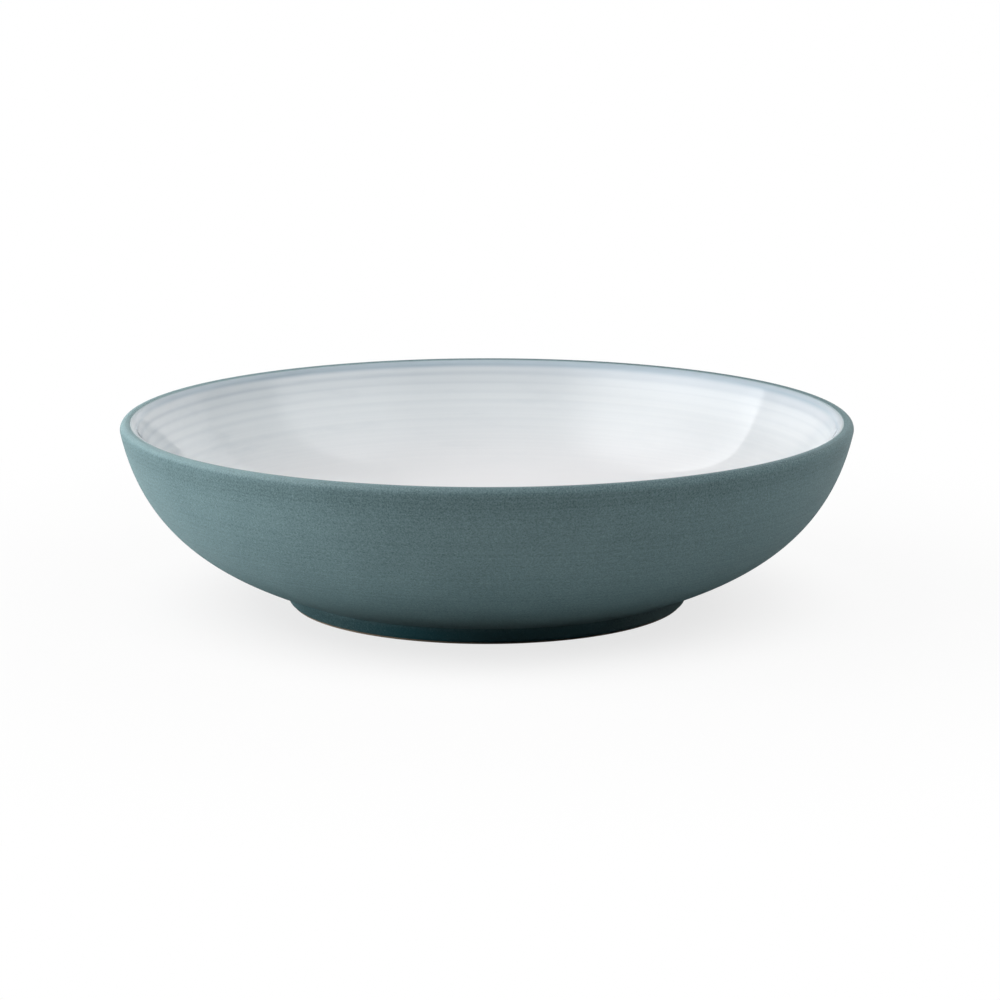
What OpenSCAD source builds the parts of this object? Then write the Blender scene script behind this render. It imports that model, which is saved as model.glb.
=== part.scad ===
// Low stoneware bowl on a foot ring, made by revolving its section.
// A matte teal coat runs from the foot over the lip. The inside is white gloss glaze
// with throwing rings, a tinted band under the lip and tinted rings in the grooves.
// The origin is on the table under the middle of the bowl, with Z up.

/* [Overall] */
// Diameter across the widest part of the lip
rim_d = 220; // [190:1:260]
// Height from the table to the top of the lip
bowl_h = 56; // [50:1:70]

/* [Lip] */
// Radius of the lip's outer side, up to its crest
lip_out_r = 2; // [1.6:0.1:2.6]
// Radius of the lip's inner side, which rolls down from the crest
lip_in_r = 3.6; // [3:0.1:4.2]
// Lean of the wall at the lip, in degrees outwards from upright
lip_lean = 12; // [4:0.5:18]
// Lean of the inside under the lip, in degrees outwards from upright
inside_lean = 27.5; // [22:0.5:32]
// Turn of the matte coat over the lip, in degrees from its outermost point
lip_wrap_angle = 107; // [100:1:120]

/* [Wall and floor] */
// Angle at which the wall leaves the foot, in degrees above level
wall_rise_angle = 19.5; // [14:0.5:26]
// Pull of the wall's curve at the foot, as a share of the wall's width
wall_sweep_share = 0.5; // [0.35:0.01:0.6]
// Pull of the wall's curve at the lip, as a share of the wall's height
wall_drop_share = 0.6; // [0.45:0.01:0.75]
// Pull of the inside curve at the lip, as a share of the inside depth
inside_drop_share = 0.88; // [0.8:0.01:1]
// Pull of the inside curve at the centre, as a share of the inside radius
inside_reach_share = 0.86; // [0.7:0.01:0.88]
// Thickness of the floor at the centre, with its coats
floor_t = 6; // [5:0.1:8]

/* [Foot ring] */
// Diameter at which the glazed outer side would meet the table
foot_d = 119.4; // [100:0.1:130]
// Width at which the two glazed sides would meet the table
foot_w = 6; // [5:0.1:9]
// Height of the crease between the foot ring and the wall
foot_h = 5; // [4.2:0.1:8]
// Lean of the outer side, in degrees outwards from upright
foot_draft = 17; // [5:0.5:22]
// Fillet in the crease between the foot ring and the wall
crease_r = 1.3; // [0.6:0.1:2]
// Radius of the two edges of the standing face
foot_edge_r = 0.6; // [0.3:0.1:0.7]
// Height of the foot ring that is left bare above the table
bare_h = 0.6; // [0.6:0.1:1.6]

/* [Recess under the floor] */
// Height of the glazed recess above the table
recess_h = 5; // [4.6:0.1:7]
// Lean of the ring's inner side, in degrees inwards from upright
recess_draft = 10; // [4:0.5:18]
// Fillet round the recess
recess_r = 1.5; // [0.8:0.1:2.5]

/* [Coats] */
// Thickness of the matte coat outside
coat_t = 0.5; // [0.4:0.05:0.7]
// Thickness of the coat in the recess
base_t = 0.5; // [0.4:0.05:0.7]
// Thickness of the white gloss glaze and the tinted band
glaze_t = 0.8; // [0.75:0.05:1]
// Height of the tinted band on the wall, down from the lip's inner side
band_h = 0.3; // [0.2:0.1:1.5]

/* [Throwing rings] */
// Number of throwing rings
ring_count = 8; // [3:1:9]
// Height from one ring to the next
ring_pitch = 2.8; // [2.2:0.1:3.2]
// Depth of the first ring
ring_depth = 0.06; // [0.04:0.01:0.2]
// Share of that depth that the last ring has lost
ring_fade_share = 0.6; // [0:0.05:0.8]
// Plain height between the tinted band and the first ring
ring_gap = 0.6; // [0.4:0.1:2]
// Thickness of the tinted rings in the grooves
tint_t = 0.25; // [0.2:0.01:0.3]
// Width of a tinted ring, as a share of the height from ring to ring
tint_share = 0.4; // [0.25:0.05:0.6]

/* [Hidden] */
$fn = 96;

arc_steps = 5;
lip_steps = 10;
crest_steps = 3;
roll_steps = 8;
wall_steps = 30;
inside_steps = 36;
tint_steps = 4;
slope_steps = 3;
halvings = 30;

clay_color = [0.71, 0.65, 0.57];
teal_color = [0.38, 0.51, 0.53];
white_color = [0.93, 0.94, 0.95];
tint_color = [0.66, 0.72, 0.77];

// A station is [radius, height, facing]: a point of the bowl's section on its surface,
// and the angle that the surface faces there. All surfaces run the same way round the
// section, with the open side on the right: recess, foot, wall, lip, inside, centre.

function along(angle) = [cos(angle), sin(angle)];
function place(s) = [s[0], s[1]];
function station(point, way) = [point[0], point[1], way - 90];

// Points of a coat's back, at a depth under its stations
function under(stations, depth) = [for (s = stations) place(s) - depth * along(s[2])];

function backwards(points) = [for (i = [len(points) - 1:-1:0]) points[i]];
function after_first(list) = [for (i = [1:len(list) - 1]) list[i]];

// Closed outline of a coat between its face and its back
function coat(stations, depth) = concat(under(stations, 0), backwards(under(stations, depth)));

// Stations of an arc that rounds the corner between two straight ways
function rounding(corner, way_in, way_out, radius, steps) =
    let (
        turn = way_out - way_in,
        side = sign(turn),
        cut = radius * tan(abs(turn) / 2),
        centre = corner - cut * along(way_in) + side * radius * along(way_in + 90)
    )
    [
        for (i = [0:steps])
            let (way = way_in + turn * i / steps)
            station(centre - side * radius * along(way + 90), way)
    ];

// A cubic curve through four control points, as a point and as a station
function curve_point(p, t) =
    (1 - t) ^ 3 * p[0] + 3 * (1 - t) ^ 2 * t * p[1] + 3 * (1 - t) * t ^ 2 * p[2] + t ^ 3 * p[3];

function curve_station(p, t) =
    let (way = (1 - t) ^ 2 * (p[1] - p[0]) + 2 * (1 - t) * t * (p[2] - p[1]) + t ^ 2 * (p[3] - p[2]))
    station(curve_point(p, t), atan2(way[1], way[0]));

function curve_stations(p, start, steps) =
    [for (i = [0:steps]) curve_station(p, start + (1 - start) * i / steps)];

// Where a falling curve passes a height, by halving the stretch that holds it
function share_at(p, height, low = 0, high = 1, left = halvings) =
    let (mid = (low + high) / 2)
    left == 0 ? mid
        : curve_point(p, mid)[1] > height ? share_at(p, height, mid, high, left - 1)
        : share_at(p, height, low, mid, left - 1);

// Recess: from the centre across its ceiling, round the fillet and down the ring
recess_side_way = recess_draft - 90;
recess_side_r = foot_d / 2 - foot_w;
recess_corner = [recess_side_r - recess_h * tan(recess_draft), recess_h];
recess_fillet = rounding(recess_corner, 0, recess_side_way, recess_r, arc_steps);
recess_end = station([recess_side_r - bare_h * tan(recess_draft), bare_h], recess_side_way);
recess_ceiling = concat([station([0, recess_h], 0)], recess_fillet);

// Foot ring and wall: up the ring's outer side, round the crease and up to the lip
foot_side_way = 90 - foot_draft;
foot_end = station([foot_d / 2 + bare_h * tan(foot_draft), bare_h], foot_side_way);
crease = [foot_d / 2 + foot_h * tan(foot_draft), foot_h];
crease_fillet = rounding(crease, foot_side_way, wall_rise_angle, crease_r, arc_steps);

crest_r = rim_d / 2 - lip_out_r;
lip_out_centre = [crest_r, bowl_h - lip_out_r];
lip_in_centre = [crest_r, bowl_h - lip_in_r];
lip_foot = lip_out_centre + lip_out_r * along(-lip_lean);
wall_foot = place(crease_fillet[arc_steps]);
wall_span = lip_foot - wall_foot;
wall_curve = [
    wall_foot,
    wall_foot + wall_sweep_share * wall_span[0] * along(wall_rise_angle),
    lip_foot - wall_drop_share * wall_span[1] * along(90 - lip_lean),
    lip_foot
];
wall_face = after_first(curve_stations(wall_curve, 0, wall_steps));

// Lip: a tight outer round and a wider inner one, which meet level at the crest.
// The matte coat ends a little way down the inner round, and the tinted band goes on.
function lip_stations(centre, radius, from, to, steps) = [
    for (i = [0:steps])
        let (facing = from + (to - from) * i / steps)
        station(centre + radius * along(facing), facing + 90)
];
matte_lip = concat(
    after_first(lip_stations(lip_out_centre, lip_out_r, -lip_lean, 90, lip_steps)),
    after_first(lip_stations(lip_in_centre, lip_in_r, 90, lip_wrap_angle, crest_steps))
);
tinted_lip = lip_stations(lip_in_centre, lip_in_r, lip_wrap_angle, 180 - inside_lean, roll_steps);

outer_wall = concat(crease_fillet, wall_face, matte_lip);

// Inside: down from the lip and level across the floor
floor_z = recess_h + floor_t;
inside_top = place(tinted_lip[roll_steps]);
inside_curve = [
    inside_top,
    inside_top - inside_drop_share * (inside_top[1] - floor_z) * along(90 - inside_lean),
    [inside_reach_share * inside_top[0], floor_z],
    [0, floor_z]
];
band_end = share_at(inside_curve, inside_top[1] - band_h);
band_face = concat(tinted_lip, [curve_station(inside_curve, band_end)]);
inside_back = curve_stations(inside_curve, band_end, inside_steps);

// Throwing rings: each groove is one smooth wave deep, measured in heights
rings_top = inside_top[1] - band_h - ring_gap;
rings_end = rings_top - ring_count * ring_pitch;

function groove_depth(ring) = ring_depth * (1 - ring_fade_share * ring / (ring_count - 1));

// Station of a groove's face at a share of its height, sunk by a depth of its own
function groove_station(ring, share, sunk) =
    let (
        s = curve_station(inside_curve, share_at(inside_curve, rings_top - (ring + share) * ring_pitch)),
        dip = groove_depth(ring) * (1 - cos(360 * share)) / 2,
        point = place(s) - (dip + sunk) * along(s[2])
    )
    [point[0], point[1], s[2]];

function groove_stretch(ring, from, to, steps, sunk) =
    [for (i = [0:steps]) groove_station(ring, from + (to - from) * i / steps, sunk)];

tint_from = (1 - tint_share) / 2;
tint_to = (1 + tint_share) / 2;

// White glaze of one groove: down to the tinted ring's seat, along the seat and out again
function groove_face(ring) = concat(
    after_first(groove_stretch(ring, 0, tint_from, slope_steps, 0)),
    groove_stretch(ring, tint_from, tint_to, tint_steps, tint_t),
    groove_stretch(ring, tint_to, 1, slope_steps, 0)
);

inside_face = concat(
    [inside_back[0], groove_station(0, 0, 0)],
    [for (ring = [0:ring_count - 1]) each groove_face(ring)],
    after_first(curve_stations(inside_curve, share_at(inside_curve, rings_end), inside_steps))
);

// Standing face of the foot ring, rounded at both edges, in bare clay
inner_edge = [recess_side_r + base_t / cos(recess_draft), 0];
outer_edge = [foot_d / 2 - coat_t / cos(foot_draft), 0];
standing_face = concat(
    rounding(inner_edge, recess_side_way, 0, foot_edge_r, arc_steps),
    rounding(outer_edge, 0, foot_side_way, foot_edge_r, arc_steps)
);

module revolved(outline) {
    rotate_extrude() polygon(outline);
}

// Floor, wall and lip, which the coats cover all over
module clay_body() {
    color(clay_color) revolved(concat(
        under(recess_ceiling, base_t),
        under(outer_wall, coat_t),
        under(band_face, glaze_t),
        under(after_first(inside_back), glaze_t)
    ));
}

// Ring luted under the floor, bare where it stands
module foot_ring() {
    color(clay_color) revolved(concat(
        under([recess_fillet[arc_steps], recess_end], base_t),
        under(standing_face, 0),
        under([foot_end, crease_fillet[0]], coat_t)
    ));
}

// Matte coat from the foot's outer side to the top of the lip
module outer_glaze() {
    color(teal_color) revolved(coat(concat([foot_end], outer_wall), coat_t));
}

// Matte coat under the floor and down the ring's inner side
module base_glaze() {
    color(teal_color) revolved(coat(concat(recess_ceiling, [recess_end]), base_t));
}

// Gloss glaze of the wall and floor, with a seat for each tinted ring
module inner_glaze() {
    color(white_color) revolved(concat(under(inside_face, 0), backwards(under(inside_back, glaze_t))));
}

// Tinted gloss glaze from the matte lip down to the white
module rim_band() {
    color(tint_color) revolved(coat(band_face, glaze_t));
}

// Tinted rings, each flush with the groove that it lies in
module tint_rings() {
    for (ring = [0:ring_count - 1])
        color(tint_color) revolved(coat(groove_stretch(ring, tint_from, tint_to, tint_steps, 0), tint_t));
}

clay_body();
foot_ring();
outer_glaze();
base_glaze();
inner_glaze();
rim_band();
tint_rings();
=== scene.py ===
import math

import bpy
import numpy as np
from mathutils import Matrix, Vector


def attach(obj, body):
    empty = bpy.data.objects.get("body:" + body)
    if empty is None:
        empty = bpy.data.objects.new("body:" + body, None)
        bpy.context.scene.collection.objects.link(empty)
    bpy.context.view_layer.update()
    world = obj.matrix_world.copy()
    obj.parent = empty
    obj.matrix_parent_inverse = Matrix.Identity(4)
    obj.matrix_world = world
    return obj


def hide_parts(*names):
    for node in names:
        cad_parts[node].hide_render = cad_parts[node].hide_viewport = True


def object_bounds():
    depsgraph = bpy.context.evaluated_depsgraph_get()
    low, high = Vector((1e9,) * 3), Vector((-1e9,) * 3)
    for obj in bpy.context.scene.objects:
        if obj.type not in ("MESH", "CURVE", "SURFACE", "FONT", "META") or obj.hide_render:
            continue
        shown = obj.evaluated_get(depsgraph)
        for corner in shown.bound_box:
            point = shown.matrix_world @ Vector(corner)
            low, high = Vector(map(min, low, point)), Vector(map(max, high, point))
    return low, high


bl_info = {
    "name": "Stoneware bowl",
    "version": (1, 0, 0),
    "blender": (4, 5, 0),
    "location": "3D View > Sidebar > Bowl",
    "description": "Dresses a low stoneware bowl: matte teal coat, white gloss glaze and tinted throwing rings",
    "category": "Add Mesh",
}

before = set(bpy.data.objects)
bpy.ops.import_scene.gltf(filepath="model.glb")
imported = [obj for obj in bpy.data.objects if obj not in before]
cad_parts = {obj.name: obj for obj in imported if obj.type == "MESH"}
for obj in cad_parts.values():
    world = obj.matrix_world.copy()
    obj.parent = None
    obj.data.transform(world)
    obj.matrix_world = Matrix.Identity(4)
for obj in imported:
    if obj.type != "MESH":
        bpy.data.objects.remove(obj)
CAD_LOW, CAD_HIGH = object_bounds()

FULL_TURN = 2 * math.pi
QUARTER_TURN = math.pi / 2

# Columns of every surface of revolution and the turn of each
COLUMNS = 320
TURNS = FULL_TURN * np.arange(COLUMNS) / COLUMNS

# A point this near the axis is on it, and an edge bent by more than this angle is sharp
AXIS_GAP = 1e-7
SHARP_ANGLE = math.radians(38)

# Light of the studio: the left lamps are a little warm
PLAIN = (1, 1, 1)
WARM = (1.0, 0.965, 0.96)
LAMP_SIZE = (0.5, 0.5)
LAMP_DISTANCE = 1.1
LAMP_TARGET = (0, 0, 0.03)

# Each lamp's name, its turn from the camera's side to the right and its rise in degrees, its power and colour
LAMPS = (
    ("high_left", 270, 62, 1.9, WARM),
    ("high_front_left", 315, 62, 1.2, WARM),
    ("high_front_right", 45, 62, 2.0, PLAIN),
    ("left", 270, 35, 4.2, WARM),
    ("front_left", 315, 35, 2.1, WARM),
    ("right", 90, 35, 2.95, PLAIN),
    ("front_right", 45, 35, 0.6, PLAIN),
)
LOW_LAMP_PLACE = (-1.0, 0.0, 0.07)
LOW_LAMP_TARGET = (0, 0, 0.07)
LOW_LAMP_SIZE = (0.5, 0.13)
LOW_LAMP_POWER = 7.9

# Each glowing card's name, its place across, its stretch from front to back, and its glow over the white of
# the room at shares of that stretch. The cards are no lamps: they paint softbox reflections into the gloss
CARDS = (
    ("left_card", -0.9, (-1.56, 0.515), (
        (0.0, 0.0), (0.18, 1.35), (0.45, 2.9), (0.68, 3.0), (0.83, 1.6), (0.92, 1.7), (0.96, 2.1), (1.0, 2.6))),
    ("left_backdrop", -0.9, (0.68, 6.0), ((0.0, 0.3), (1.0, 0.3))),
    ("right_card", 0.9, (-1.6, 0.08), (
        (0.0, 0.0), (0.1, 0.5), (0.25, 0.9), (0.5, 1.4), (0.93, 1.5), (1.0, 0.0))),
    ("right_backdrop", 0.9, (0.64, 6.0), ((0.0, 0.55), (0.15, 0.45), (0.4, 0.3), (1.0, 0.3))),
)
CARD_HEIGHTS = (0.1, 3.2)

FLOOR_HALF_WIDTH = 8.0
FLOOR_HEIGHT = -0.0001

# The photo's camera, which looks down by 11.57 degrees
CAMERA_PLACE = (0.00391, -1.07765, 0.25098)
CAMERA_TILT = math.radians(90 - 11.57)
CAMERA_LENS = 130.93
CAMERA_SENSOR = 36
CAMERA_CLIP = (0.05, 50)


# Section of the bowl

def along(angle):
    """Unit way at an angle: its cosine and its sine."""
    angle = np.asarray(angle, float)
    return np.stack([np.cos(angle), np.sin(angle)], axis=-1)


def distances(points):
    """Distance along a row of points from the first to each: the lengths of the steps, added up."""
    steps = np.linalg.norm(np.diff(points, axis=0), axis=1)
    return np.concatenate([[0.0], np.cumsum(steps)])


class Stretch:
    """A stretch of the section: points [radius, height] and the angle that the surface faces at each.

    Every stretch runs the same way round, from the recess over the foot, the wall and the lip to
    the middle of the inside, so that the open side is on its right.
    """

    def __init__(self, points, facing):
        self.points = np.asarray(points, float).reshape(-1, 2)
        self.facing = np.asarray(facing, float).reshape(-1)

    def __add__(self, other):
        """This stretch and then the other, whose first point is this one's last."""
        return Stretch(
            np.concatenate([self.points, other.points[1:]]),
            np.concatenate([self.facing, other.facing[1:]]),
        )

    def under(self, depth):
        """Points at a depth below the surface: each steps back against the way that it faces."""
        depth = np.broadcast_to(np.asarray(depth, float), self.facing.shape)
        return self.points - depth[:, None] * along(self.facing)

    def eased(self, start=None, end=None):
        """Points that round off the surface near its ends, each end given as a run and a depth.

        The depth falls by a quarter of an ellipse from its full value at the end to none at the run.
        """
        depth = np.zeros(len(self.points))
        runs = distances(self.points)
        for edge, away in ((start, runs), (end, runs[-1] - runs)):
            if edge:
                share = np.clip(1 - away / edge[0], 0, 1)
                depth += edge[1] * (1 - np.sqrt(1 - share ** 2))
        return self.under(depth)


def straight(start, end, steps):
    """Straight stretch: points at even shares from start to end, facing a quarter turn right of the way."""
    start, end = np.asarray(start, float), np.asarray(end, float)
    share = np.linspace(0, 1, steps + 1)[:, None]
    way = math.atan2(*(end - start)[::-1])
    return Stretch(start + share * (end - start), np.full(steps + 1, way - QUARTER_TURN))


def rounding(corner, way_in, way_out, radius, steps):
    """Arc that rounds a corner: its centre lies one radius to the side, and its way turns evenly."""
    turn = way_out - way_in
    side = math.copysign(1, turn)
    cut = radius * math.tan(abs(turn) / 2)
    centre = np.asarray(corner) - cut * along(way_in) + side * radius * along(way_in + QUARTER_TURN)
    way = np.linspace(way_in, way_out, steps + 1)
    return Stretch(centre - side * radius * along(way + QUARTER_TURN), way - QUARTER_TURN)


def arc(centre, radius, start, end, steps):
    """Arc of a round: points one radius from its centre at evenly turned facings."""
    facing = np.linspace(start, end, steps + 1)
    return Stretch(centre + radius * along(facing), facing)


def curve(controls, share):
    """Cubic curve at some shares: the four controls weighted by the terms of (1 - share + share) cubed.

    Its way is the same sum, squared, over the three differences of the controls.
    """
    p = np.asarray(controls, float)
    t = np.asarray(share, float).reshape(-1, 1)
    point = (1 - t) ** 3 * p[0] + 3 * (1 - t) ** 2 * t * p[1] + 3 * (1 - t) * t ** 2 * p[2] + t ** 3 * p[3]
    way = (1 - t) ** 2 * (p[1] - p[0]) + 2 * (1 - t) * t * (p[2] - p[1]) + t ** 2 * (p[3] - p[2])
    return Stretch(point, np.arctan2(way[:, 1], way[:, 0]) - QUARTER_TURN)


def share_at(controls, height, halvings=40):
    """Shares at which a falling curve passes some heights, by halving the stretch that holds each."""
    height = np.atleast_1d(np.asarray(height, float))
    low, high = np.zeros_like(height), np.ones_like(height)
    for _ in range(halvings):
        middle = (low + high) / 2
        above = curve(controls, middle).points[:, 1] > height
        low, high = np.where(above, middle, low), np.where(above, high, middle)
    return (low + high) / 2


class Section:
    """All stretches of the bowl's section, worked out once from its sizes."""

    def __init__(self, sizes):
        s = self.sizes = sizes
        up = QUARTER_TURN

        recess_side_way = s.recess_draft - up
        recess_side_r = s.foot_diameter / 2 - s.foot_width
        recess_corner = [recess_side_r - s.recess_height * math.tan(s.recess_draft), s.recess_height]
        self.recess_fillet = rounding(recess_corner, 0, recess_side_way, s.recess_round, steps=10)
        self.recess_ceiling = straight([0, s.recess_height], self.recess_fillet.points[0], steps=24)
        recess_end = [recess_side_r - s.bare_height * math.tan(s.recess_draft), s.bare_height]
        self.recess_side = straight(self.recess_fillet.points[-1], recess_end, steps=6)

        foot_side_way = up - s.foot_draft
        foot_end = [s.foot_diameter / 2 + s.bare_height * math.tan(s.foot_draft), s.bare_height]
        crease = [s.foot_diameter / 2 + s.foot_height * math.tan(s.foot_draft), s.foot_height]
        self.crease_fillet = rounding(crease, foot_side_way, s.wall_rise, s.crease_round, steps=12)
        self.foot_side = straight(foot_end, self.crease_fillet.points[0], steps=8)

        crest_r = s.rim_diameter / 2 - s.lip_out_radius
        out_centre = np.array([crest_r, s.bowl_height - s.lip_out_radius])
        in_centre = np.array([crest_r, s.bowl_height - s.lip_in_radius])
        lip_foot = out_centre + s.lip_out_radius * along(-s.lip_lean)
        wall_foot = self.crease_fillet.points[-1]
        span = lip_foot - wall_foot
        wall_controls = [
            wall_foot,
            wall_foot + s.wall_sweep_share * span[0] * along(s.wall_rise),
            lip_foot - s.wall_drop_share * span[1] * along(up - s.lip_lean),
            lip_foot,
        ]
        self.wall = curve(wall_controls, np.linspace(0, 1, num=97))
        crest = arc(out_centre, s.lip_out_radius, -s.lip_lean, up, steps=30)
        self.matte_lip = crest + arc(in_centre, s.lip_in_radius, up, s.lip_wrap, steps=10)
        self.tinted_lip = arc(in_centre, s.lip_in_radius, s.lip_wrap, math.pi - s.inside_lean, steps=18)

        floor_z = s.recess_height + s.floor_thickness
        top = self.tinted_lip.points[-1]
        self.inside_controls = [
            top,
            top - s.inside_drop_share * (top[1] - floor_z) * along(up - s.inside_lean),
            [s.inside_reach_share * top[0], floor_z],
            [0, floor_z],
        ]
        self.band_end = top[1] - s.band_height
        self.matte_end = self.matte_lip.points[-1, 1]
        self.bleed_end = in_centre[1] + s.lip_in_radius * math.sin(s.lip_wrap + s.bleed_turn)
        self.rings_top = self.band_end - s.ring_gap
        self.rings_end = self.rings_top - s.ring_count * s.ring_pitch

        inner_edge = [recess_side_r + s.recess_coat_thickness / math.cos(s.recess_draft), 0]
        outer_edge = [s.foot_diameter / 2 - s.coat_thickness / math.cos(s.foot_draft), 0]
        inner_round = rounding(inner_edge, recess_side_way, 0, s.foot_edge_round, steps=10)
        outer_round = rounding(outer_edge, 0, foot_side_way, s.foot_edge_round, steps=10)
        flat = straight(inner_round.points[-1], outer_round.points[0], steps=8)
        self.standing_face = inner_round + flat + outer_round

    def inside_at(self, heights):
        """Stretch of the plain inside curve that passes some falling heights."""
        return curve(self.inside_controls, share_at(self.inside_controls, heights))

    def inside_floor(self, height, steps):
        """Stretch of the inside curve from a height down to the centre, at even shares."""
        start = share_at(self.inside_controls, height)[0]
        return curve(self.inside_controls, np.linspace(start, 1, steps + 1))


# Meshes

def outline(face, back):
    """Closed outline of a coat: its face, then its back the other way."""
    return np.concatenate([face, back[::-1]])


def turned(points):
    """Grids of radius and height for an outline that is the same at every turn."""
    return np.repeat(points[:, :1], COLUMNS, axis=1), np.repeat(points[:, 1:], COLUMNS, axis=1)


def joined(grids):
    """Grids of radius and height of several stretches of one outline, one after another."""
    radii, heights = zip(*grids)
    return np.concatenate(radii), np.concatenate(heights)


def grid_faces(radius, first):
    """Corner numbers of the faces between neighbouring rows and columns, each row a ring, counted from first.

    The last row joins the first. A row at the axis is one point, and two such rows have no faces between them.
    """
    corner = np.arange(radius.size).reshape(radius.shape)
    at_axis = radius.max(axis=1) == 0
    corner[at_axis] = corner[at_axis, :1]
    off_axis = ~(at_axis & np.roll(at_axis, -1))
    low, high = corner[off_axis], np.roll(corner, -1, axis=0)[off_axis]
    quads = np.stack([low, np.roll(low, -1, axis=1), np.roll(high, -1, axis=1), high], axis=-1).reshape(-1, 4)
    return quads + first, np.unique(quads) + first


def make_piece(name, grids, material, slot, *nodes):
    """Makes one piece of closed surfaces of revolution and lets it stand for its CAD nodes.

    Each grid holds a radius and a height for an outline point and a turn:
    x = radius * cos(turn), y = radius * sin(turn), z = height, with the turn in even shares of a circle.
    The attribute run is each point's distance along its outline, on which the turning lines lie.
    """
    points, quads, kept, runs = [], [], [], []
    first = 0
    for radius, height in grids:
        radius = np.where(np.abs(radius) < AXIS_GAP, 0, radius)
        spread = np.stack([radius * np.cos(TURNS), radius * np.sin(TURNS), height], axis=-1)
        points.append(spread.reshape(-1, 3))
        runs.append(np.repeat(distances(np.stack([radius[:, 0], height[:, 0]], axis=-1)), COLUMNS))
        faces, used = grid_faces(radius, first)
        quads.append(faces)
        kept.append(used)
        first += radius.size
    points, quads, kept, runs = map(np.concatenate, (points, quads, kept, runs))
    number = np.zeros(len(points), int)
    number[kept] = np.arange(len(kept))
    quads = number[quads]
    pole_low, pole_high = quads[:, 0] == quads[:, 1], quads[:, 2] == quads[:, 3]
    faces = quads[~(pole_low | pole_high)].tolist()
    faces += quads[pole_low][:, [0, 2, 3]].tolist()
    faces += quads[pole_high][:, [0, 1, 2]].tolist()

    mesh = bpy.data.meshes.new(name)
    mesh.from_pydata(points[kept].tolist(), [], faces)
    mesh.polygons.foreach_set("use_smooth", np.ones(len(mesh.polygons), bool))
    mesh.set_sharp_from_angle(angle=SHARP_ANGLE)
    run = mesh.attributes.new("run", "FLOAT", "POINT")
    run.data.foreach_set("value", runs[kept].astype(np.float32))
    mesh.materials.append(material)
    mesh.update()
    piece = bpy.data.objects.new(name, mesh)
    bpy.context.scene.collection.objects.link(piece)
    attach(piece, "root")
    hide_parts(*nodes)


# Materials

class Term:
    """An output of a material's node, on which sums are written as on a number."""

    def __init__(self, recipe, output):
        self.recipe = recipe
        self.output = output

    def __add__(self, other):
        return self.recipe.math("ADD", self, other)

    def __radd__(self, other):
        return self.recipe.math("ADD", other, self)

    def __sub__(self, other):
        return self.recipe.math("SUBTRACT", self, other)

    def __rsub__(self, other):
        return self.recipe.math("SUBTRACT", other, self)

    def __mul__(self, other):
        return self.recipe.math("MULTIPLY", self, other)

    def __rmul__(self, other):
        return self.recipe.math("MULTIPLY", other, self)

    def __truediv__(self, other):
        return self.recipe.math("DIVIDE", self, other)

    def __rtruediv__(self, other):
        return self.recipe.math("DIVIDE", other, self)


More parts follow.
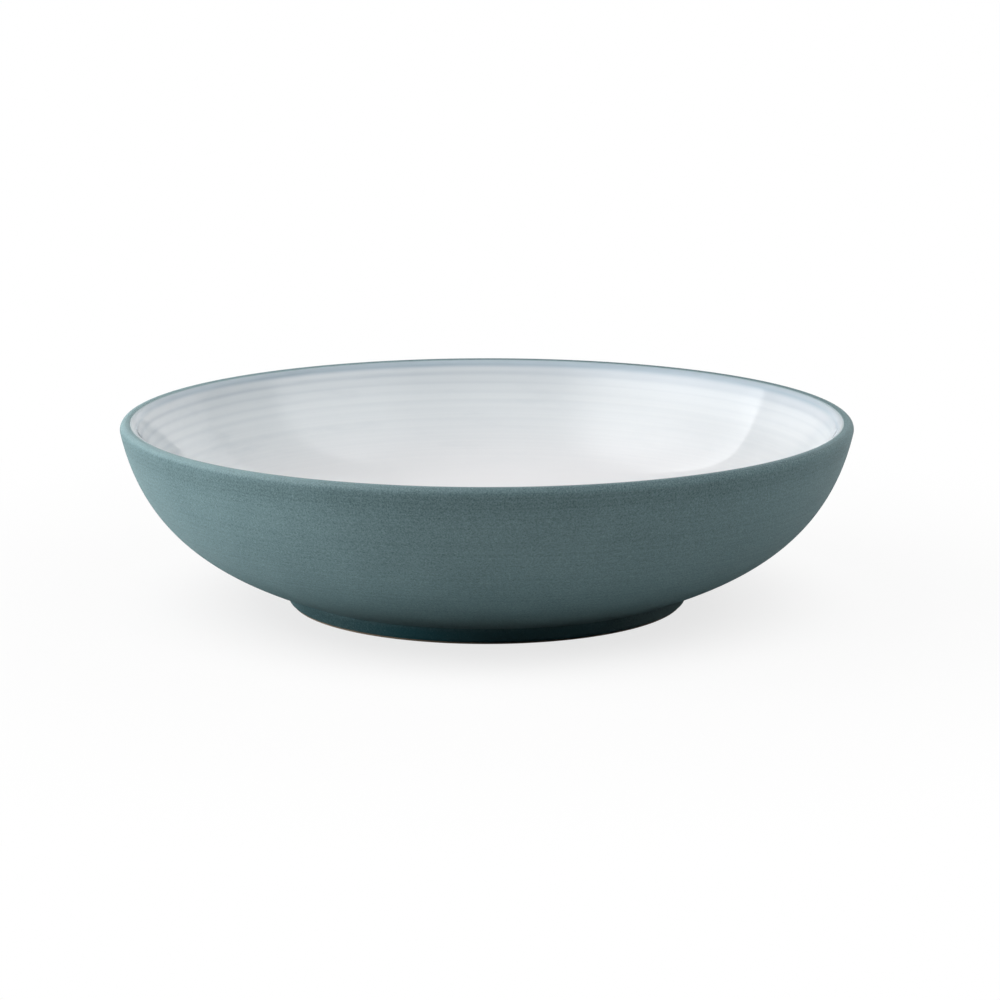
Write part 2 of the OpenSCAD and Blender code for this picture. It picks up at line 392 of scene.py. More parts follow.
class Recipe:
    """The nodes of one material or of the world."""

    def __init__(self, owner):
        owner.use_nodes = True
        self.tree = owner.node_tree
        self.tree.nodes.clear()

    def node(self, kind, settings=None, sockets=None, output=0):
        """Adds one node, its settings first, then its sockets' values or links. Gives one of its outputs."""
        made = self.tree.nodes.new(kind)
        for name, value in (settings or {}).items():
            if name == "stops":
                self.set_stops(made.color_ramp, value)
            else:
                setattr(made, name, value)
        for key, value in (sockets or {}).items():
            if isinstance(value, Term):
                self.tree.links.new(value.output, made.inputs[key])
            else:
                made.inputs[key].default_value = value
        return None if output is None else Term(self, made.outputs[output])

    def set_stops(self, ramp, stops):
        """Gives a ramp its stops, each a place and a colour."""
        while len(ramp.elements) > 1:
            ramp.elements.remove(ramp.elements[-1])
        for number, (place, colour) in enumerate(stops):
            stop = ramp.elements[0] if number == 0 else ramp.elements.new(place)
            stop.position, stop.color = place, colour

    def math(self, operation, first, second=0.0):
        """One sum: what a sign between two terms stands for, or one without a sign, such as a cosine."""
        return self.node("ShaderNodeMath", {"operation": operation}, {0: first, 1: second})

    def step(self, value, low, high):
        """Rises smoothly from 0 at low to 1 at high."""
        return self.node(
            "ShaderNodeMapRange",
            {"interpolation_type": "SMOOTHSTEP", "clamp": True},
            {"Value": value, "From Min": low, "From Max": high, "To Min": 0.0, "To Max": 1.0},
        )

    def mix(self, share, first, second):
        """Colour between two others, by a share. The sockets are those that a colour mix has."""
        return self.node(
            "ShaderNodeMix",
            {"data_type": "RGBA", "blend_type": "MIX", "clamp_factor": True},
            {0: share, 6: first, 7: second},
            output=2,
        )

    def place(self):
        """Object coordinates in metres."""
        return self.node("ShaderNodeTexCoord", output="Object")

    def coordinate(self, axis):
        """One object coordinate in metres: 0 to the right, 1 away from the camera, 2 up from the table."""
        return self.node("ShaderNodeSeparateXYZ", None, {0: self.place()}, output=axis)

    def noise(self, where, scale, detail, roughness):
        """Soft noise between 0 and 1."""
        return self.node(
            "ShaderNodeTexNoise",
            {"noise_dimensions": "3D", "normalize": True},
            {"Vector": where, "Scale": scale, "Detail": detail, "Roughness": roughness},
        )

    def line_noise(self, value, scale, detail, roughness):
        """Soft noise along one value, such as the run along the section."""
        return self.node(
            "ShaderNodeTexNoise",
            {"noise_dimensions": "1D", "normalize": True},
            {"W": value, "Scale": scale, "Detail": detail, "Roughness": roughness},
        )

    def around_mottle(self, scale, tall):
        """Soft patches that lie along the throwing rings: noise whose places are drawn out round the bowl."""
        where = self.node(
            "ShaderNodeMapping", {"vector_type": "POINT"},
            {"Vector": self.place(), "Scale": (scale, scale, tall)})
        return self.noise(where, 1.0, detail=3.0, roughness=0.55)

    def bump(self, strength, distance, height):
        """Fine relief from a height between 0 and 1, at most a distance deep."""
        return self.node("ShaderNodeBump", None, {"Strength": strength, "Distance": distance, "Height": height})

    def light_path(self, kind):
        """1 for the rays of one kind, else 0."""
        return self.node("ShaderNodeLightPath", output=kind)

    def mirrored_rays(self):
        """1 for rays from a gloss or through glass, else 0."""
        return self.math("MAXIMUM", self.light_path("Is Glossy Ray"), self.light_path("Is Transmission Ray"))

    def ceramic(self, sockets):
        """Ends the recipe in the shader of clay, coat or glaze."""
        self.surface(self.node("ShaderNodeBsdfPrincipled", None, sockets))

    def surface(self, shader, kind="ShaderNodeOutputMaterial"):
        """Ends the recipe in its output."""
        self.node(kind, None, {"Surface": shader}, output=None)


def new_recipe(name):
    """A new material and its recipe."""
    material = bpy.data.materials.new(name)
    return material, Recipe(material)


def paint(colour):
    """A colour with its alpha, as sockets take it."""
    return (*colour, 1.0)


def clay_material(colours):
    """Fired stoneware clay: warm grey, with fine grog and iron specks."""
    material, r = new_recipe("stoneware_clay")
    where = r.place()
    grain = r.noise(where, 1800.0, detail=4.0, roughness=0.6)
    cloud = r.noise(where, 90.0, detail=3.0, roughness=0.5)
    specks = r.step(r.noise(where, 2600.0, detail=1.0, roughness=0.4), 0.70, 0.76)
    clay = r.mix(0.65 * cloud + 0.35 * grain, paint(colours.clay_dark), paint(colours.clay_pale))
    r.ceramic({
        "Base Color": r.mix(0.7 * specks, clay, paint(colours.clay_speck)),
        "Roughness": 0.72 + 0.2 * grain,
        "Normal": r.bump(0.5, 0.00012, grain + 0.4 * specks),
        "Specular IOR Level": 0.3,
    })
    return material


def matte_material(colours, name):
    """Matte teal coat: fine sandy grain, faint turning lines and soft clouds.

    Its tone is paler over the lip, mostly on the left: partly the coat breaking thin there, partly a painted
    highlight where the left lamps are strongest. It is a little darker just under the lip, painted shade, and
    dark on the foot, less so at the foot's left and right ends: painted shade that stands in for the shadow at
    the table. The foot's middle is a deeper teal, painted shade as well. Each of these rises smoothly between
    two heights or two places across, all in metres.
    """
    material, r = new_recipe(name)
    where, x, height = r.place(), r.coordinate(0), r.coordinate(2)
    run = r.node("ShaderNodeAttribute", {"attribute_type": "GEOMETRY", "attribute_name": "run"}, output="Fac")
    sand = r.noise(where, 1900.0, detail=3.0, roughness=0.65)
    fine = r.noise(where, 3000.0, detail=2.0, roughness=0.6)
    cloud = r.noise(where, 55.0, detail=4.0, roughness=0.6)
    wave = 0.0004 * r.noise(where, 25.0, detail=2.0, roughness=0.5)
    lines = r.line_noise(run + wave, 900.0, detail=3.0, roughness=0.7)
    light_specks = r.step(fine, 0.66, 0.78)
    grain = 0.55 * sand + 0.45 * fine

    right = r.step(x, -0.10, 0.05)
    # Paler over the lip: partly the coat breaking thin, partly a painted highlight on the left. A little darker
    # under the lip: painted shade
    over_lip = r.step(height, 0.0543, 0.0557)
    under_lip = r.step(height, 0.045, 0.0520)
    lip_tone_and_painted_light = (0.46 - 0.50 * right) * over_lip - 0.12 * under_lip

    # Darker on the foot: painted shade that stands in for the shadow at the table, less at the foot's ends and
    # towards the right, where more light reaches
    foot = 1.0 - r.step(height, 0.0032, 0.0064)
    left_end = 1.0 - r.step(x, -0.060, -0.050)
    right_end = r.step(x, 0.035, 0.056)
    painted_foot_shade = (0.52 - 0.28 * right - (0.15 * left_end + 0.38 * right_end)) * foot
    # Deeper teal in the foot's middle: painted shade as well
    middle = 0.8 * foot * r.step(x, -0.048, -0.018) * (1.0 - r.step(x, 0.025, 0.050))

    tone = 0.5 + 2.05 * (grain - 0.5) + 0.22 * (cloud - 0.5) + 0.30 * (lines - 0.5) + lip_tone_and_painted_light - painted_foot_shade
    colour = r.mix(tone, paint(colours.teal_dark), paint(colours.teal_pale))
    colour = r.mix(middle, colour, paint(colours.teal_foot_shade))
    r.ceramic({
        "Base Color": r.mix(0.45 * light_specks, colour, paint(colours.teal_speck)),
        "Roughness": 0.56 + 0.12 * grain,
        "Normal": r.bump(0.35, 0.00012, 0.8 * grain + 0.35 * lines),
        "Specular IOR Level": 0.45,
        "Diffuse Roughness": 0.3,
    })
    return material


def gloss_material(colours, section, name):
    """White gloss glaze over throwing rings: a blue-grey tint gathers in each groove and under the lip.

    The rings are a wave of the height: half of one minus the cosine of a full turn per groove, squared to
    narrow it. They fade down the wall and change from left to right, stronger on the left partly as painted
    shade of the shallow grooves under the light from the left, and soft patches that are drawn out round the
    bowl break them up. Fine lines, clouds and smudges lie between them and end low on the wall. The tint
    deepens towards the lip; the extra depth on the right is painted shade. The band is darkest at its lower
    edge and a little paler above it, a painted highlight on the lip's inner curve, and the matte coat bleeds
    into its upper edge. A phase is a depth under the first groove's top, in grooves.
    """
    material, r = new_recipe(name)
    sizes = section.sizes
    x, height = r.coordinate(0), r.coordinate(2)
    patches = r.around_mottle(26.0, 210.0)
    clouds = r.around_mottle(11.0, 40.0)
    wobble = 0.0011 * (r.around_mottle(15.0, 90.0) - 0.5)
    phase = (section.rings_top - height + wobble) / sizes.ring_pitch

    wave = 0.5 - 0.5 * r.math("COSINE", FULL_TURN * phase)
    fade = (
        1.0 - 0.45 * r.step(phase, 0.5, 2.0) - 0.40 * r.step(phase, 3.2, 4.4)
        + 0.14 * r.step(phase, 4.8, 5.3) - 0.09 * r.step(phase, 5.8, 6.3))
    # Stronger on the left: partly the tint's own unevenness, partly painted shade of the shallow grooves under
    # the light from the left
    side = (
        1.36 - 0.62 * r.step(x, -0.10, -0.05) - 0.42 * r.step(x, -0.01, 0.045)
        + 0.28 * r.step(x, 0.075, 0.10))
    first, last = r.step(phase, -0.15, 0.25), r.step(phase, sizes.ring_count - 0.6, sizes.ring_count + 0.2)
    uneven = 0.55 + 0.9 * r.line_noise(phase, 0.85, detail=1.0, roughness=0.5)
    rings = wave * wave * fade * side * (first * (1.0 - last)) * uneven * (0.25 + 1.4 * patches)

    fine_lines = r.line_noise(height + 0.5 * wobble, 1250.0, detail=2.0, roughness=0.5) - 0.5
    smudges = 0.12 * r.step(r.around_mottle(55.0, 260.0), 0.52, 0.78)
    high_wall = 1.0 - r.step(phase, 7.0, 13.0)
    between = (0.10 * fine_lines + 0.10 * (clouds - 0.5) + smudges * side) * high_wall
    # Tint deepens towards the lip; its extra on the right is painted shade that dims the upper wall there
    lip_tint_and_painted_shade = 0.05 + 0.26 * r.step(height, 0.043, 0.0550)
    lip_tint_and_painted_shade += 0.42 * r.step(x, -0.01, 0.05) * r.step(height, 0.0492, 0.0550)
    white = r.mix(r.step(height, 0.014, 0.046), paint(colours.glaze_white), paint(colours.glaze_cool))
    tinted = r.mix(0.24 * rings + between + lip_tint_and_painted_shade, white, paint(colours.ring_tint))

    band = r.step(height + 0.6 * wobble, section.band_end - 0.0004, section.band_end + 0.0010)
    # Paler upper part of the band: painted highlight on the lip's inner curve
    painted_band_highlight = r.step(height, section.band_end + 0.0006, section.band_end + 0.0014)
    banded = r.mix(band * (0.72 - 0.18 * painted_band_highlight + 0.3 * patches), tinted, paint(colours.band_tint))
    bleed = 0.8 * r.step(height, section.bleed_end, section.matte_end)
    r.ceramic({
        "Base Color": r.mix(bleed, banded, paint(colours.teal_pale)),
        "Roughness": 0.04 + 0.04 * patches,
        "Normal": r.bump(0.03, 0.0002, r.around_mottle(9.0, 900.0)),
        "Specular IOR Level": 0.5,
    })
    return material


# Settings

def length_property(name, description, default, **more):
    """A length setting, in metres."""
    return bpy.props.FloatProperty(name=name, description=description, default=default, unit="LENGTH", **more)


def angle_property(name, description, degrees):
    """An angle setting, whose default is given in degrees."""
    return bpy.props.FloatProperty(
        name=name, description=description, default=math.radians(degrees), subtype="ANGLE")


def share_property(name, description, default):
    """A setting that is a share of something else."""
    return bpy.props.FloatProperty(name=name, description=description, default=default, subtype="FACTOR")


def colour_property(name, description, default):
    """A colour setting."""
    return bpy.props.FloatVectorProperty(
        name=name, description=description, default=default, subtype="COLOR", min=0, max=1)


class BowlSizes(bpy.types.PropertyGroup):
    """Sizes of the bowl, as its solids have them."""

    rim_diameter: length_property(
        "Rim diameter", "Across the widest part of the lip", 2 * CAD_HIGH.x)
    bowl_height: length_property(
        "Height", "From the table to the top of the lip", CAD_HIGH.z)
    lip_out_radius: length_property(
        "Lip, outside", "Radius of the lip's outer side, up to its crest", 0.002)
    lip_in_radius: length_property(
        "Lip, inside", "Radius of the lip's inner side, down from the crest", 0.0036)
    lip_lean: angle_property(
        "Lip lean", "Lean of the wall at the lip, outwards from upright", 12)
    inside_lean: angle_property(
        "Inside lean", "Lean of the inside under the lip, outwards from upright", 27.5)
    lip_wrap: angle_property(
        "Lip wrap", "Turn of the matte coat over the lip, from its outermost point", 107)
    bleed_turn: angle_property(
        "Bleed", "Turn by which the matte coat's colour bleeds into the band", 14)
    wall_rise: angle_property(
        "Wall rise", "Angle at which the wall leaves the foot, above level", 19.5)
    wall_sweep_share: share_property(
        "Wall sweep", "Pull of the wall's curve at the foot, as a share of its width", 0.5)
    wall_drop_share: share_property(
        "Wall drop", "Pull of the wall's curve at the lip, as a share of its height", 0.6)
    inside_drop_share: share_property(
        "Inside drop", "Pull of the inside curve at the lip, as a share of the depth", 0.88)
    inside_reach_share: share_property(
        "Inside reach", "Pull of the inside curve at the centre, as a share of the radius", 0.86)
    floor_thickness: length_property(
        "Floor thickness", "Thickness of the floor at the centre, with its coats", 0.006)
    foot_diameter: length_property(
        "Foot diameter", "Where the glazed outer side would meet the table", 0.1194)
    foot_width: length_property(
        "Foot width", "Width at which the two glazed sides would meet the table", 0.006)
    foot_height: length_property(
        "Foot height", "Height of the crease between the foot ring and the wall", 0.005)
    foot_draft: angle_property(
        "Foot draft", "Lean of the ring's outer side, outwards from upright", 17)
    crease_round: length_property(
        "Crease round", "Fillet between the foot ring and the wall", 0.0013)
    foot_edge_round: length_property(
        "Foot edge round", "Radius of the two edges of the standing face", 0.0006)
    bare_height: length_property(
        "Bare height", "Height of the foot ring that is left bare", 0.0006)
    recess_height: length_property(
        "Recess height", "Height of the glazed recess above the table", 0.005)
    recess_draft: angle_property(
        "Recess draft", "Lean of the ring's inner side, inwards from upright", 10)
    recess_round: length_property(
        "Recess round", "Fillet round the recess", 0.0015)
    coat_thickness: length_property(
        "Matte coat", "Thickness of the matte coat outside", 0.0005)
    recess_coat_thickness: length_property(
        "Recess coat", "Thickness of the coat in the recess", 0.0005)
    glaze_thickness: length_property(
        "Gloss glaze", "Thickness of the white glaze and the tinted band", 0.0008)
    band_height: length_property(
        "Band height", "Height of the tinted band on the wall, down from the lip's inner side", 0.0003)
    ring_count: bpy.props.IntProperty(
        name="Throwing rings", description="Number of throwing rings", default=8, min=2)
    ring_pitch: length_property(
        "Ring pitch", "Height from one ring to the next", 0.0028)
    ring_depth: length_property(
        "Ring depth", "Depth of the first ring", 0.00006, precision=5)
    ring_fade_share: share_property(
        "Ring fade", "Share of that depth that the last ring has lost", 0.6)
    ring_fill_share: share_property(
        "Ring fill", "Share of a ring's depth that the glaze fills, which the solids leave open", 0.65)
    ring_gap: length_property(
        "Ring gap", "Plain height between the band and the first ring", 0.0006)
    tint_thickness: length_property(
        "Tinted ring", "Thickness of the tinted rings in the grooves", 0.00025, precision=5)
    tint_share: share_property(
        "Tinted share", "Width of a tinted ring, as a share of the pitch", 0.4)


class BowlColours(bpy.types.PropertyGroup):
    """Colours of the bowl's clay and coats."""

    clay_dark: colour_property("Clay, dark", "Darker tone of the bare clay", (0.20, 0.16, 0.115))
    clay_pale: colour_property("Clay, pale", "Paler tone of the bare clay", (0.36, 0.30, 0.225))
    clay_speck: colour_property("Clay, specks", "Iron specks in the bare clay", (0.07, 0.05, 0.035))
    teal_dark: colour_property("Matte coat, dark", "Darker tone of the matte coat", (0.038, 0.09, 0.101))
    teal_pale: colour_property("Matte coat, pale", "Paler tone of the matte coat", (0.212, 0.34, 0.361))
    # Painted shade: the deep tone of the foot's middle stands in for the shadow at the table
    teal_foot_shade: colour_property("Matte coat, pooled", "Deep tone on the foot", (0.005, 0.078, 0.099))
    teal_speck: colour_property("Matte coat, specks", "Pale specks in the matte coat", (0.34, 0.46, 0.48))
    glaze_white: colour_property("White glaze", "White glaze on the floor of the bowl", (0.872, 0.876, 0.884))
    glaze_cool: colour_property("White glaze, wall", "Cooler white on the wall", (0.818, 0.873, 0.897))
    ring_tint: colour_property("Ring tint", "Tint that gathers in the throwing rings", (0.42, 0.505, 0.575))
    band_tint: colour_property("Band tint", "Tint of the band under the lip", (0.36, 0.475, 0.555))


# Pieces

def groove_depth(sizes, ring):
    """Depth of a ring's groove.

    It is the first ring's depth, less an even share for each ring below it and less what the glaze fills.
    """
    left = 1 - sizes.ring_fill_share
    return left * sizes.ring_depth * (1 - sizes.ring_fade_share * ring / (sizes.ring_count - 1))


def throwing_sway(ring):
    """Share by which a groove's depth sways round the bowl.

    It is one plus two slow waves, of two and of five swings to a turn, whose starts differ from ring to ring.
    """
    return 1 + 0.22 * np.sin(2 * TURNS + 1.7 * ring) + 0.14 * np.sin(5 * TURNS + 2.9 * ring)


def groove_grid(section, ring, shares, sunk=0.0):
    """Grids of radius and height of a groove's face at some shares of its height.

    The face dips under the plain inside curve by its depth times (1 - cos(full turn * share)) / 2,
    which sways with the turn, and is sunk further by a depth of its own.
    """
    sizes = section.sizes
    plain = section.inside_at(section.rings_top - (ring + shares) * sizes.ring_pitch)
    dip = groove_depth(sizes, ring) * (1 - np.cos(FULL_TURN * shares))[:, None] / 2
    depth = dip * throwing_sway(ring)[None, :] + sunk
    back = along(plain.facing)
    return plain.points[:, :1] - depth * back[:, :1], plain.points[:, 1:] - depth * back[:, 1:]


def tint_stretch(sizes):
    """Shares of a groove's height between which its tinted ring lies."""
    return (1 - sizes.tint_share) / 2, (1 + sizes.tint_share) / 2


class PieceOperator:
    """What the operators of the bowl's pieces share."""

    bl_options = {"REGISTER", "UNDO"}


class BOWL_OT_clay_body(PieceOperator, bpy.types.Operator):
    """Gives the clay under the coats its stoneware finish"""

    bl_idname = "bowl.clay_body"
    bl_label = "Clay body"

    def execute(self, context):
        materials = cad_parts["clay_body"].data.materials
        materials.clear()
        materials.append(clay_material(context.scene.bowl_colours))
        return {"FINISHED"}


class BOWL_OT_bare_foot(PieceOperator, bpy.types.Operator):
    """Makes the foot ring, bare and rounded where it stands"""

    bl_idname = "bowl.bare_foot"
    bl_label = "Foot ring"

    def execute(self, context):
        section = Section(context.scene.bowl_sizes)
        inner = section.recess_side.under(section.sizes.recess_coat_thickness)
        outer = section.foot_side.under(section.sizes.coat_thickness)
        points = np.concatenate([inner, section.standing_face.points, outer])
        make_piece(
            "foot_ring_clay", [turned(points)], bpy.data.materials["stoneware_clay"], "stoneware", "foot_ring")
        return {"FINISHED"}


class BOWL_OT_matte_coat(PieceOperator, bpy.types.Operator):
    """Makes the matte coat from the foot's outer side to the top of the lip"""

    bl_idname = "bowl.matte_coat"
    bl_label = "Matte coat"

    def execute(self, context):
        section = Section(context.scene.bowl_sizes)
        face = section.foot_side + section.crease_fillet + section.wall + section.matte_lip
        under = face.under(section.sizes.coat_thickness)
        back = under[::2]
        back[-1] = under[-1]
        points = outline(face.eased(start=(0.0005, 0.0003), end=(0.00025, 0.0001)), back)
        material = matte_material(context.scene.bowl_colours, "matte_teal_coat")
        make_piece("matte_coat", [turned(points)], material, "matte_teal", "outer_glaze")
        return {"FINISHED"}


class BOWL_OT_recess_coat(PieceOperator, bpy.types.Operator):
    """Makes the matte coat under the floor and down the ring's inner side"""

    bl_idname = "bowl.recess_coat"
    bl_label = "Recess coat"

    def execute(self, context):
        section = Section(context.scene.bowl_sizes)
        face = section.recess_ceiling + section.recess_fillet + section.recess_side
        points = outline(face.eased(end=(0.0005, 0.0003)), face.under(section.sizes.recess_coat_thickness))
        material = matte_material(context.scene.bowl_colours, "matte_teal_recess")
        make_piece("recess_coat", [turned(points)], material, "matte_teal", "base_glaze")
        return {"FINISHED"}


class BOWL_OT_white_glaze(PieceOperator, bpy.types.Operator):
    """Makes the white gloss glaze of the wall and floor, with a seat for each tinted ring"""

    bl_idname = "bowl.white_glaze"
    bl_label = "White glaze"

    def execute(self, context):
        section = Section(context.scene.bowl_sizes)
        sizes = section.sizes
        tint_from, tint_to = tint_stretch(sizes)
        above = np.linspace(0, tint_from, num=7)
        seat = np.linspace(tint_from, tint_to, num=5)
        below = np.linspace(tint_to, 1, num=7)
        plain = section.inside_at(np.linspace(section.band_end, section.rings_top, num=5)[:-1])
        grids = [turned(plain.points)]
        for ring in range(sizes.ring_count):
            grids.append(groove_grid(section, ring, above[1:] if ring else above))
            grids.append(groove_grid(section, ring, seat, sunk=sizes.tint_thickness))
            grids.append(groove_grid(section, ring, below))
        floor = section.inside_floor(section.rings_end, steps=70)
        back = section.inside_floor(section.band_end, steps=60).under(sizes.glaze_thickness)
        grids += [turned(floor.points[1:]), turned(back[::-1])]
        material = gloss_material(context.scene.bowl_colours, section, "white_gloss_glaze")
        make_piece("white_glaze", [joined(grids)], material, "gloss_white", "inner_glaze")
        return {"FINISHED"}


class BOWL_OT_tinted_band(PieceOperator, bpy.types.Operator):
    """Makes the tinted gloss glaze between the matte lip and the white"""

    bl_idname = "bowl.tinted_band"
    bl_label = "Tinted band"

    def execute(self, context):
        section = Section(context.scene.bowl_sizes)
        heights = np.linspace(section.tinted_lip.points[-1, 1], section.band_end, num=9)
        face = section.tinted_lip + section.inside_at(heights)
        points = outline(face.eased(start=(0.0002, 0.0001)), face.under(section.sizes.glaze_thickness))
        material = gloss_material(context.scene.bowl_colours, section, "tinted_gloss_glaze")
        make_piece("tinted_band", [turned(points)], material, "gloss_blue_grey", "rim_band")
        return {"FINISHED"}


class BOWL_OT_tinted_rings(PieceOperator, bpy.types.Operator):
    """Makes the tinted rings, each flush in its groove"""

    bl_idname = "bowl.tinted_rings"
    bl_label = "Tinted rings"

    def execute(self, context):
        section = Section(context.scene.bowl_sizes)
        sizes = section.sizes
        tint_from, tint_to = tint_stretch(sizes)
        grids = []
        for ring in range(sizes.ring_count):
            face = groove_grid(section, ring, np.linspace(tint_from, tint_to, num=11))
            back = groove_grid(section, ring, np.linspace(tint_to, tint_from, num=5), sunk=sizes.tint_thickness)
            grids.append(joined([face, back]))
        material = bpy.data.materials["tinted_gloss_glaze"]
        make_piece("tinted_rings", grids, material, "gloss_blue_grey", "tint_rings")
        return {"FINISHED"}


# Studio

def aim(thing, place, target):
    """Puts a lamp or camera at a place and turns it to look at a target."""
    way = np.asarray(target, float) - np.asarray(place, float)
    thing.location = place
    flat = math.hypot(way[0], way[1])
    thing.rotation_euler = (math.atan2(flat, -way[2]), 0, math.atan2(way[1], way[0]) - QUARTER_TURN)


def around(turn, rise):
    """Place of a lamp round the bowl, by its turn from the camera's side to the right and its rise."""
    turn, rise = math.radians(turn), math.radians(rise)
    flat = LAMP_DISTANCE * math.cos(rise)
    return flat * math.sin(turn), -flat * math.cos(turn), LAMP_TARGET[2] + LAMP_DISTANCE * math.sin(rise)


def soft_lamp(name, place, target, size, power, colour):
    """Adds a rectangular soft lamp that neither the camera nor a reflection shows."""
    data = bpy.data.lights.new(name, "AREA")
    data.shape = "RECTANGLE"
    data.size, data.size_y = size
    data.energy = power
    data.color = colour
    lamp = bpy.data.objects.new(name, data)
    lamp.visible_camera = False
    lamp.visible_glossy = False
    bpy.context.scene.collection.objects.link(lamp)
    aim(lamp, place, target)


def floor_material():
    """Plain pale floor: it keeps the shadow at the bowl and turns white further out.

    Under the bowl the colour that it throws back to the bowl is a dim grey: painted shade that stands in for
    the shadow there, so that the foot gets little bounce light, and near the bowl no white shows in the coat's
    reflections either.
    Each change rises smoothly between two distances from the middle of the floor, in metres.
    """
    material, r = new_recipe("pale_floor")
    pale, dim = paint((0.82, 0.82, 0.82)), paint((0.06, 0.06, 0.06))
    distance = r.node("ShaderNodeVectorMath", {"operation": "LENGTH"}, {0: r.place()}, output="Value")
    seen = r.light_path("Is Camera Ray")
    seen_glow = 0.76 + 0.17 * r.step(distance, 0.06, 0.12) + 0.07 * r.step(distance, 0.11, 0.28)
    mirrored_glow = r.step(distance, 0.08, 0.35)
    # Painted shade: the bounce colour is dim grey under the bowl and pale further out, while the camera still
    # sees pale
    painted_shade_bounce = r.mix(r.step(distance, 0.062, 0.115), dim, pale)
    plain = r.node("ShaderNodeBsdfDiffuse", None, {"Color": r.mix(seen, painted_shade_bounce, pale)})
    glow = r.node("ShaderNodeEmission", None, {"Color": paint(PLAIN), "Strength": 1.0})
    share = seen * seen_glow + r.mirrored_rays() * mirrored_glow
    r.surface(r.node("ShaderNodeMixShader", None, {0: share, 1: plain, 2: glow}))
    return material


def card_material(name, y_range, glows):
    """Glowing card over the white of the room, no lamp: a painted reflection that shows only in the gloss.

    Its glow runs between stops, each a share of its width and a level, and fades out towards the floor and
    towards its top.
    """
    material, r = new_recipe(name)
    share = (r.coordinate(1) - y_range[0]) / (y_range[1] - y_range[0])
    height = r.coordinate(2)
    fade = r.step(height, 0.1, 0.4) * (1.0 - r.step(height, 0.9, 2.6))
    peak = max(glow for _, glow in glows)
    stops = [(place, paint([glow / peak] * 3)) for place, glow in glows]
    level = r.node("ShaderNodeValToRGB", {"stops": stops}, {0: share})
    glow = 1.0 + peak * fade * r.node("ShaderNodeSeparateColor", {"mode": "RGB"}, {0: level})
    colour = r.node("ShaderNodeCombineColor", {"mode": "RGB"}, {0: glow, 1: glow, 2: glow})
    r.surface(r.node("ShaderNodeEmission", None, {"Color": colour, "Strength": 1.0}))
    return material


def add_stage(name, corners, material):
    """Adds a flat part of the studio, which isn't part of the bowl."""
    mesh = bpy.data.meshes.new(name)
    mesh.from_pydata(corners, [], [(0, 1, 2, 3)])
    mesh.materials.append(material)
    thing = bpy.data.objects.new(name, mesh)
    bpy.context.scene.collection.objects.link(thing)
    return thing


def glowing_reflection_card(name, x, y_range, glows):
    """Adds an upright glowing card, no lamp, that only shows in the gloss as a painted reflection, as much
    brighter than the room as its glows say.
    """
    (y0, y1), (z0, z1) = y_range, CARD_HEIGHTS
    corners = [(x, y0, z0), (x, y1, z0), (x, y1, z1), (x, y0, z1)]
    card = add_stage(name, corners, card_material(name, y_range, glows))
    card.visible_camera = False
    card.visible_diffuse = False
    card.visible_shadow = False
    card.visible_transmission = False


def studio_world():
    """World that leaves the light to the lamps, and looks white to the camera and in reflections."""
    world = bpy.data.worlds.new("studio_world")
    bpy.context.scene.world = world
    r = Recipe(world)
    dark = r.node("ShaderNodeBackground", None, {"Strength": 0.0})
    white = r.node("ShaderNodeBackground", None, {"Color": paint(PLAIN), "Strength": 1.0})
    shown = r.math("MAXIMUM", r.light_path("Is Camera Ray"), r.mirrored_rays())
    r.surface(r.node("ShaderNodeMixShader", None, {0: shown, 1: dark, 2: white}), "ShaderNodeOutputWorld")


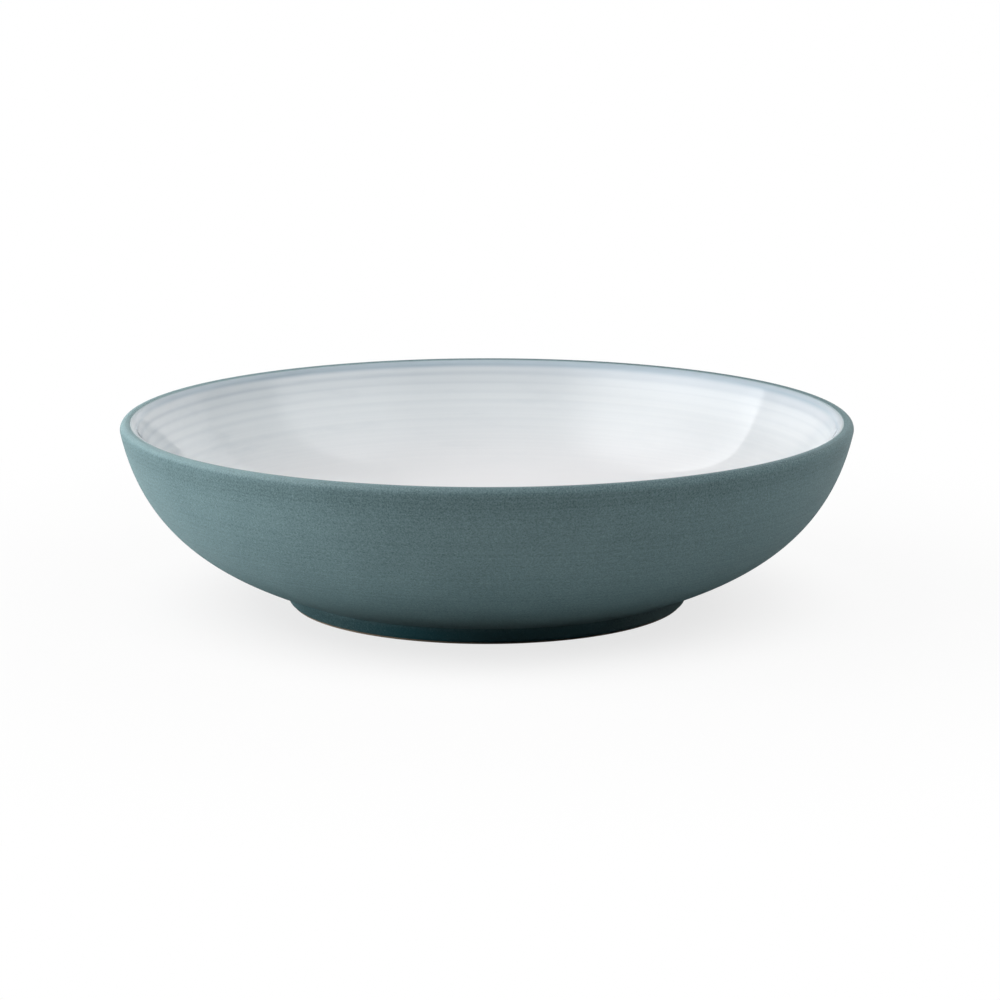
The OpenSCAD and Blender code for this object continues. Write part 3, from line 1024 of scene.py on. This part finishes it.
class BOWL_OT_studio(bpy.types.Operator):
    """Sets up the plain floor, the soft studio light and the camera"""

    bl_idname = "bowl.studio"
    bl_label = "Studio"

    def execute(self, context):
        scene = context.scene
        scene.view_settings.view_transform = "Standard"

        half, low = FLOOR_HALF_WIDTH, FLOOR_HEIGHT
        corners = [(-half, -half, low), (half, -half, low), (half, half, low), (-half, half, low)]
        add_stage("floor", corners, floor_material())
        studio_world()
        for name, turn, rise, power, colour in LAMPS:
            soft_lamp(name, around(turn, rise), LAMP_TARGET, LAMP_SIZE, power, colour)
        soft_lamp("low_left", LOW_LAMP_PLACE, LOW_LAMP_TARGET, LOW_LAMP_SIZE, LOW_LAMP_POWER, WARM)
        for name, x, y_range, glows in CARDS:
            glowing_reflection_card(name, x, y_range, glows)

        data = bpy.data.cameras.new("photo_camera")
        data.sensor_width = CAMERA_SENSOR
        data.lens = CAMERA_LENS
        data.clip_start, data.clip_end = CAMERA_CLIP
        camera = bpy.data.objects.new("photo_camera", data)
        camera.location = CAMERA_PLACE
        camera.rotation_euler = (CAMERA_TILT, 0, 0)
        scene.collection.objects.link(camera)
        scene.camera = camera
        return {"FINISHED"}


class BOWL_PT_panel(bpy.types.Panel):
    """Lists what the bowl is made of"""

    bl_label = "Bowl"
    bl_idname = "BOWL_PT_panel"
    bl_space_type = "VIEW_3D"
    bl_region_type = "UI"
    bl_category = "Bowl"

    def draw(self, context):
        for operator in OPERATORS:
            self.layout.operator(operator.bl_idname)
        for group in (context.scene.bowl_sizes, context.scene.bowl_colours):
            box = self.layout.box()
            for name in group.__annotations__:
                box.prop(group, name)


OPERATORS = (
    BOWL_OT_clay_body,
    BOWL_OT_bare_foot,
    BOWL_OT_matte_coat,
    BOWL_OT_recess_coat,
    BOWL_OT_white_glaze,
    BOWL_OT_tinted_band,
    BOWL_OT_tinted_rings,
    BOWL_OT_studio,
)


def register():
    """Registers the settings, the operators and the panel."""
    for group in (BowlSizes, BowlColours, *OPERATORS, BOWL_PT_panel):
        bpy.utils.register_class(group)
    bpy.types.Scene.bowl_sizes = bpy.props.PointerProperty(type=BowlSizes)
    bpy.types.Scene.bowl_colours = bpy.props.PointerProperty(type=BowlColours)


def unregister():
    """Takes them away again."""
    del bpy.types.Scene.bowl_sizes
    del bpy.types.Scene.bowl_colours
    for group in (BOWL_PT_panel, *reversed(OPERATORS), BowlColours, BowlSizes):
        bpy.utils.unregister_class(group)


def main():
    """Makes every piece and the studio."""
    register()
    bpy.ops.bowl.clay_body()
    bpy.ops.bowl.bare_foot()
    bpy.ops.bowl.matte_coat()
    bpy.ops.bowl.recess_coat()
    bpy.ops.bowl.white_glaze()
    bpy.ops.bowl.tinted_band()
    bpy.ops.bowl.tinted_rings()
    bpy.ops.bowl.studio()


if __name__ == "__main__":
    main()
